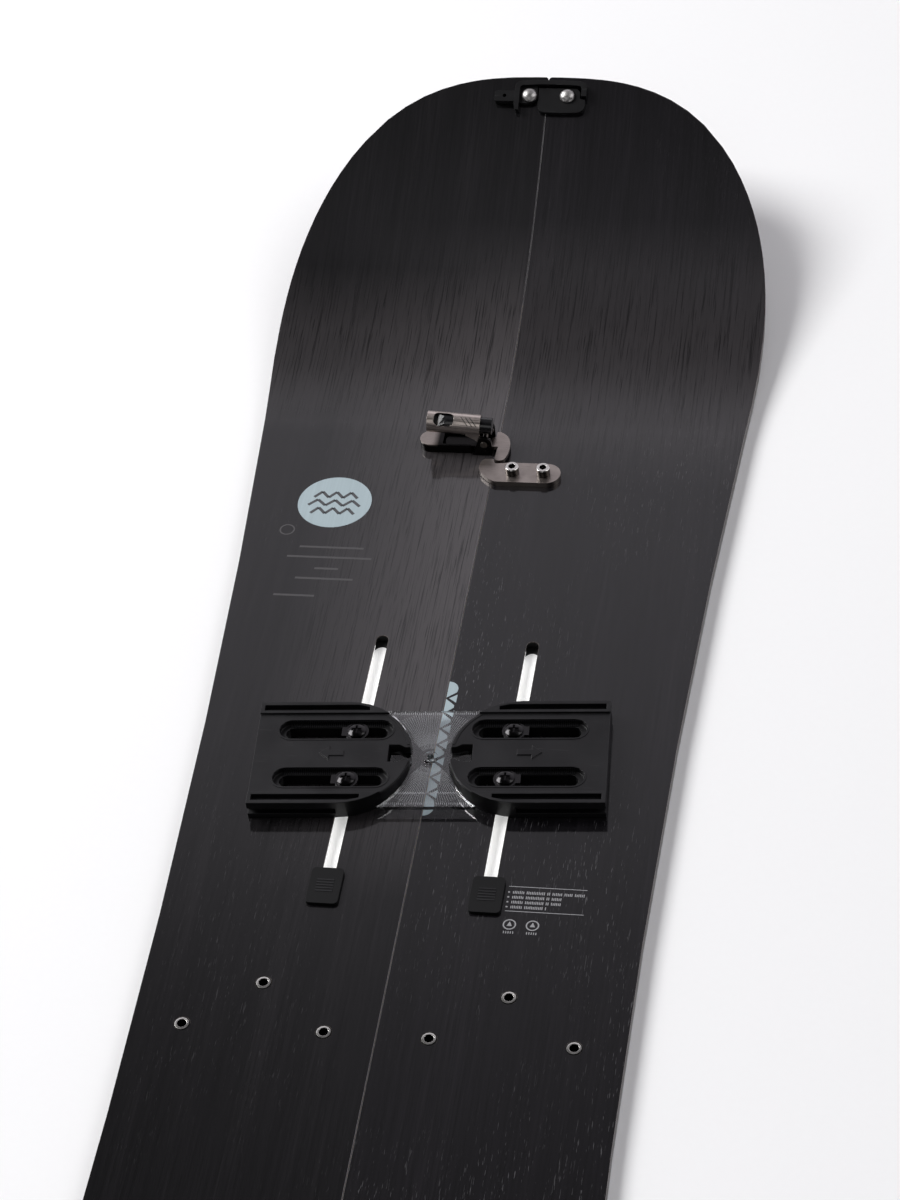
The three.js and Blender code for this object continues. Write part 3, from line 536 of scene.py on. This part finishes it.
INFO_LEFT, INFO_RIGHT = 53.4, 94.4           # the block of tick rows on the right half
INFO_TOP, INFO_LOW = 162.3, 145.5            # its two rules
INFO_ROW, INFO_ROW_PITCH = 158.4, 3.35
INFO_ROW_ENDS = (93.5, 82.0, 82.2, 75.0)
TICK_GROUPS, TICK_PITCH = (7, 11, 2, 6, 5, 9), 0.9


def info_rows(bm):
    """Four rows of plain ticks in groups, each after a bullet."""
    for i, row_end in enumerate(INFO_ROW_ENDS):
        y = INFO_ROW - INFO_ROW_PITCH * i
        bar(bm, (INFO_LEFT, y), (INFO_LEFT + 1.0, y), 1.0, INK0, INK1)
        x = INFO_LEFT + 2.8
        for count in TICK_GROUPS:
            for k in range(count):
                if x + TICK_PITCH * k < row_end:
                    tall = 0.95 - 0.25 * ((k * 7 + count) % 3 == 1)
                    bar(bm, (x + TICK_PITCH * k, y - 0.95), (x + TICK_PITCH * k, y + tall), 0.5,
                        INK0, INK1)
            x += TICK_PITCH * count + TICK_PITCH


def info_lines(bm):
    """The tick rows between two rules, with two small ring symbols below."""
    info_rows(bm)
    for y in (INFO_TOP, INFO_LOW):
        bar(bm, (INFO_LEFT, y), (INFO_RIGHT, y), 0.4, INK0, INK1)
    for cx in (57.0, 69.0):
        ring(bm, circle(cx, 136.5, 2.8, 20), circle(cx, 136.5, 3.5, 20), INK0, INK1)
        prism(bm, [(cx - 1.4, 135.5), (cx + 1.4, 135.5), (cx, 138.6)], INK0, INK1)
        for k in range(5):
            bar(bm, (cx - 2.4 + 1.2 * k, 130.4), (cx - 2.4 + 1.2 * k, 132.0), 0.5, INK0, INK1)


for place, stance in STANCES.items():
    new_piece(f"{place}_stance_scale", lambda bm, y=stance: stance_scale(bm, y), "ink",
              "board")
new_piece("badge_disc", badge_disc, "ink", "board")
new_piece("badge_lines", badge_lines, "dark_ink", "board")
new_piece("faint_rule_lines", faint_marks, "faint_ink", "board")
new_piece("info_rule_lines", info_lines, "grey_ink", "board")


# ------------------------------------------------------------------ puck detail
TEETH, TEETH_RUN, TOOTH = 46, 51, 0.28       # per ledge, over this length, half width of one
LEDGE = 6.95                                 # height of the ledges in the slots
SLOT_ROUND, SLOT_R = 24.35, 7.0              # centres of a slot's round ends from its middle


def slot_teeth(bm):
    """Fine locking teeth on both ledges of the two slots of a puck, and up the slots' walls."""
    for v in (-SLOT_V, SLOT_V):
        for i in range(TEETH):
            u = SLOT_U - TEETH_RUN / 2 + i * TEETH_RUN / (TEETH - 1)
            for side in (-1, 1):
                for near, far, top in ((4.4, 6.85, 7.5), (6.45, 6.99, 9.6)):
                    a, b = sorted((v + side * near, v + side * far))
                    prism(bm, [(u - TOOTH, a), (u + TOOTH, a), (u + TOOTH, b), (u - TOOTH, b)],
                          LEDGE, top)


def slot_rims(bm):
    """Raised bead round each slot."""
    for v in (-SLOT_V, SLOT_V):
        inner, outer = [], []
        for centre, start in ((SLOT_U + SLOT_ROUND, -90), (SLOT_U - SLOT_ROUND, 90)):
            for k in range(13):
                a = math.radians(start + 15 * k)
                for line, r in ((inner, SLOT_R), (outer, SLOT_R + 0.9)):
                    line.append((centre + r * math.cos(a), v + r * math.sin(a)))
        ring(bm, inner, outer, FIELD - 0.1, FIELD + 0.25)


BEAD_IN, BEAD_OUT, NOTCH = 35.9, 37.3, 5.2   # radii of the bead, half width of the guide notch


def round_end_bead(bm):
    """Low bead that follows the round end of the puck, broken at the guide notch."""
    inner, outer = [], []
    for k in range(33):
        a = math.radians(104 + 4.75 * k)
        for line, r in ((inner, BEAD_IN), (outer, BEAD_OUT)):
            line.append((PUCK_ROUND + r * math.cos(a), r * math.sin(a)))
    for i in range(len(inner) - 1):
        if min(abs(p[1]) for p in (outer[i], outer[i + 1])) > NOTCH:
            prism(bm, [outer[i], outer[i + 1], inner[i + 1], inner[i]], FIELD - 0.1, FIELD + 0.3)


for side_name, side in (("left", -1), ("right", 1)):
    for place in STANCES:
        matrix = stance_matrix(place, side)
        body = f"{side_name}_{place}_puck_set"
        tag = f"{side_name}_{place}"
        new_piece(f"{tag}_slot_teeth", slot_teeth, "mark", body, matrix)
        new_piece(f"{tag}_slot_rims", slot_rims, "puck", body, matrix, 50)
        new_piece(f"{tag}_end_bead", round_end_bead, "puck", body, matrix, 50)


# ------------------------------------------------------------------ guide detail
def guide_edge(y):
    """Half width of the clear guide at distance y from its middle."""
    return GUIDE_CENTRE - math.sqrt(GUIDE_R ** 2 - min(abs(y), GUIDE_HALF) ** 2)


GUIDE_INK = (5.98, 6.05)                     # just in and just out of the guide's top face


def guide_lines(bm):
    """Fan of engraved sight lines and rows of fine ticks on the clear guide."""
    z0, z1 = GUIDE_INK
    for side in (-1, 1):
        for k in range(-17, 18):
            a = math.radians(90 + 2.3 * k)
            reach = 34.0
            while reach > 10 and abs(reach * math.cos(a)) > guide_edge(reach * math.sin(a)) - 1.2:
                reach -= 0.5
            near = 7.0 if k % 2 else 10.5
            if reach > near + 3:
                bar(bm, (near * math.cos(a), side * near * math.sin(a)),
                    (reach * math.cos(a), side * reach * math.sin(a)), 0.12, z0, z1)
        for k in range(-21, 22):
            x = 1.12 * k
            if abs(x) < guide_edge(34) - 1.5:
                bar(bm, (x, side * 32.6), (x, side * (35.0 if k % 5 == 0 else 34.0)), 0.26, z0, z1)
    for k in range(-13, 14):                 # chevron ticks above the tail edge
        x = 1.35 * k
        bar(bm, (x, -26.2), (x + 0.5, -24.8), 0.24, z0, z1)
        bar(bm, (x + 0.5, -24.8), (x + 1.0, -26.2), 0.24, z0, z1)


for place in STANCES:
    new_piece(f"{place}_guide_lines", guide_lines, "frosted", f"{place}_guide_plate",
              stance_matrix(place, 1))


# ------------------------------------------------------------------ plug, lever and clip detail
def plug_ribs(bm):
    """Five low ribs across the top of a channel plug."""
    for k in range(-2, 3):
        bar(bm, (-4.6, 1.9 * k), (4.6, 1.9 * k), 0.8, TOP + 1.95, TOP + 2.2)


def lever_marks(bm):
    """Three plain strokes that curve over the lever tube, facing the tail."""
    for k in range(3):
        x, rows = -21.5 + 2.6 * k, []
        for i in range(9):
            a = math.radians(12 + 6 * i)
            y, z = -math.sin(a), math.cos(a)
            rows.append([bm.verts.new((x + 0.55 * i + d, r * y, TUBE_Z + r * z))
                         for d in (0, 0.7) for r in (TUBE_R - 0.15, TUBE_R + 0.03)])
        for (a, b, c, d), (e, f, g, h) in zip(rows, rows[1:]):
            for face in ((a, b, f, e), (c, g, h, d), (b, d, h, f), (a, e, g, c)):
                bm.faces.new(face)
        for (a, b, c, d) in (rows[0], rows[-1]):
            bm.faces.new((a, c, d, b))


for place, stance in STANCES.items():
    for side_name, side in (("left", -1), ("right", 1)):
        y = stance + CHANNEL_END - PLUG_BACK
        new_piece(f"{side_name}_{place}_plug_ribs", plug_ribs, "mark", "board",
                  Matrix.Translation((side * CHANNEL_X, y, 0)))
for place, y in JOINERS.items():
    new_piece(f"{place}_lever_marks", lever_marks, "engraving", f"{place}_lever",
              Matrix.Translation(Vector((0, y, TOP)) + PIVOT) @ Matrix.Rotation(REST_TILT, 4, "Y")
              @ Matrix.Translation(-PIVOT), 30)

# ------------------------------------------------------------------ floor
FLOOR_HALF, FLOOR_DROP = 9.0, 0.0004         # metres


def lay_floor():
    """Pale paper floor, a hair below the base."""
    mesh = bpy.data.meshes.new("floor")
    bm = bmesh.new()
    bmesh.ops.create_grid(bm, x_segments=8, y_segments=8, size=FLOOR_HALF)
    bm.to_mesh(mesh)
    bm.free()
    floor = bpy.data.objects.new("floor", mesh)
    floor.location.z = -FLOOR_DROP
    bpy.context.scene.collection.objects.link(floor)
    paper = Shader("floor_paper", (0.93, 0.93, 0.93), 0.9)
    tooth = paper.noise(paper.stretch(1, 1, 1), 260, 2, 0.5)
    paper.use(Base_Color=paper.mix(tooth, (0.925, 0.925, 0.925), (0.94, 0.94, 0.94)))
    mesh.materials.append(paper.mat)


lay_floor()

# ------------------------------------------------------------------ sky and lights
# brightness by the sine of the elevation: a white wall, a soft screen, a dim ceiling
SKY = [(0.0, 0.95), (0.58, 0.85), (0.66, 0.7), (0.73, 0.55), (0.77, 0.28), (0.79, 0.2),
       (0.82, 0.1), (0.86, 0.07), (0.92, 0.28), (0.96, 0.25), (1.0, 0.18)]
SKY_TINT = (1.0, 0.968, 1.04)


class Sky:
    """The world's background, built from nodes on the direction of view."""

    def __init__(self, name):
        world = bpy.data.worlds.new(name)
        bpy.context.scene.world = world
        world.use_nodes = True
        self.tree = world.node_tree
        self.parts = self.tree.nodes.new("ShaderNodeSeparateXYZ")
        direction = self.tree.nodes.new("ShaderNodeTexCoord")
        self.tree.links.new(direction.outputs["Generated"], self.parts.inputs[0])

    def band(self, stops):
        """Colour by height."""
        node = self.tree.nodes.new("ShaderNodeValToRGB")
        elements = node.color_ramp.elements
        while len(elements) < len(stops):
            elements.new(0.5)
        for element, (position, value) in zip(elements, stops):
            element.position = position
            element.color = (*(value * tint for tint in SKY_TINT), 1)
        self.tree.links.new(self.parts.outputs["Z"], node.inputs["Fac"])
        return node.outputs["Color"]

    def span(self, axis, low, high, at_low, at_high):
        """Smooth step along one axis of the direction."""
        step = self.tree.nodes.new("ShaderNodeMapRange")
        step.interpolation_type = "SMOOTHSTEP"
        for socket, value in zip(step.inputs[1:5], (low, high, at_low, at_high)):
            socket.default_value = value
        self.tree.links.new(self.parts.outputs[axis], step.inputs[0])
        return step.outputs[0]

    def math(self, operation, first, second):
        node = self.tree.nodes.new("ShaderNodeMath")
        node.operation = operation
        for socket, value in zip(node.inputs, (first, second)):
            if isinstance(value, float):
                socket.default_value = value
            else:
                self.tree.links.new(value, socket)
        return node.outputs[0]

    def use(self, color, amount):
        shade = self.tree.nodes.new("ShaderNodeVectorMath")
        shade.operation = "SCALE"
        self.tree.links.new(color, shade.inputs[0])
        self.tree.links.new(amount, shade.inputs["Scale"])
        background = self.tree.nodes["Background"]
        self.tree.links.new(shade.outputs[0], background.inputs["Color"])
        background.inputs["Strength"].default_value = 1.0


def light_sky():
    """The tail side of the studio is dim, and so is its upper left."""
    sky = Sky("studio")
    color = sky.band(SKY)
    front = sky.span("Y", -0.35, 0.3, 0.06, 1.0)
    aside = sky.math("MULTIPLY", sky.span("X", -0.29, -0.15, 0.92, 0.0),
                     sky.span("Z", 0.69, 0.78, 0.0, 1.0))
    sky.use(color, sky.math("MULTIPLY", front, sky.math("SUBTRACT", 1.0, aside)))


LIGHT_AIM = Vector((0, 0.3, 0))              # metres


def softbox(name, place, size, power):
    """Square area light aimed at the front half of the board."""
    data = bpy.data.lights.new(name, "AREA")
    data.shape = "RECTANGLE"
    data.size = size
    data.size_y = size
    data.energy = power
    obj = bpy.data.objects.new(name, data)
    obj.location = place
    aim = (LIGHT_AIM - Vector(place)).to_track_quat("-Z", "Y")
    obj.rotation_euler = aim.to_euler()
    bpy.context.scene.collection.objects.link(obj)


light_sky()
softbox("key", (-2.6, 1.1, 2.6), 1.8, 130)
softbox("fill", (2.6, 0.4, 3.0), 2.2, 30)
softbox("tail_top", (-0.4, -2.6, 2.4), 1.8, 8)

# ------------------------------------------------------------------ camera
LENS, SENSOR, FAR_CLIP = 96.7, 36, 60
AZIMUTH, ELEVATION, ROLL = (math.radians(angle) for angle in (13.005, 43.297, -6.64))
CAMERA_AT = Vector((291.32, -926.99, 1258.31 + TOP)) * MM


def place_camera():
    """Camera over the tail end, looking down at the front half from its right."""
    camera = bpy.data.objects.new("camera", bpy.data.cameras.new("camera"))
    bpy.context.scene.collection.objects.link(camera)
    bpy.context.scene.camera = camera
    camera.data.lens = LENS
    camera.data.sensor_width = SENSOR
    camera.data.clip_end = FAR_CLIP
    back = Vector((math.sin(AZIMUTH) * math.cos(ELEVATION),
                   -math.cos(AZIMUTH) * math.cos(ELEVATION), math.sin(ELEVATION)))
    level = Vector((math.cos(AZIMUTH), math.sin(AZIMUTH), 0))
    upright = back.cross(level)
    right = level * math.cos(ROLL) + upright * math.sin(ROLL)
    up = upright * math.cos(ROLL) - level * math.sin(ROLL)
    pose = Matrix((right, up, back)).transposed().to_4x4()
    pose.translation = CAMERA_AT
    camera.matrix_world = pose


place_camera()
bpy.context.scene.view_settings.view_transform = "Standard"
bpy.context.scene.view_settings.look = "None"
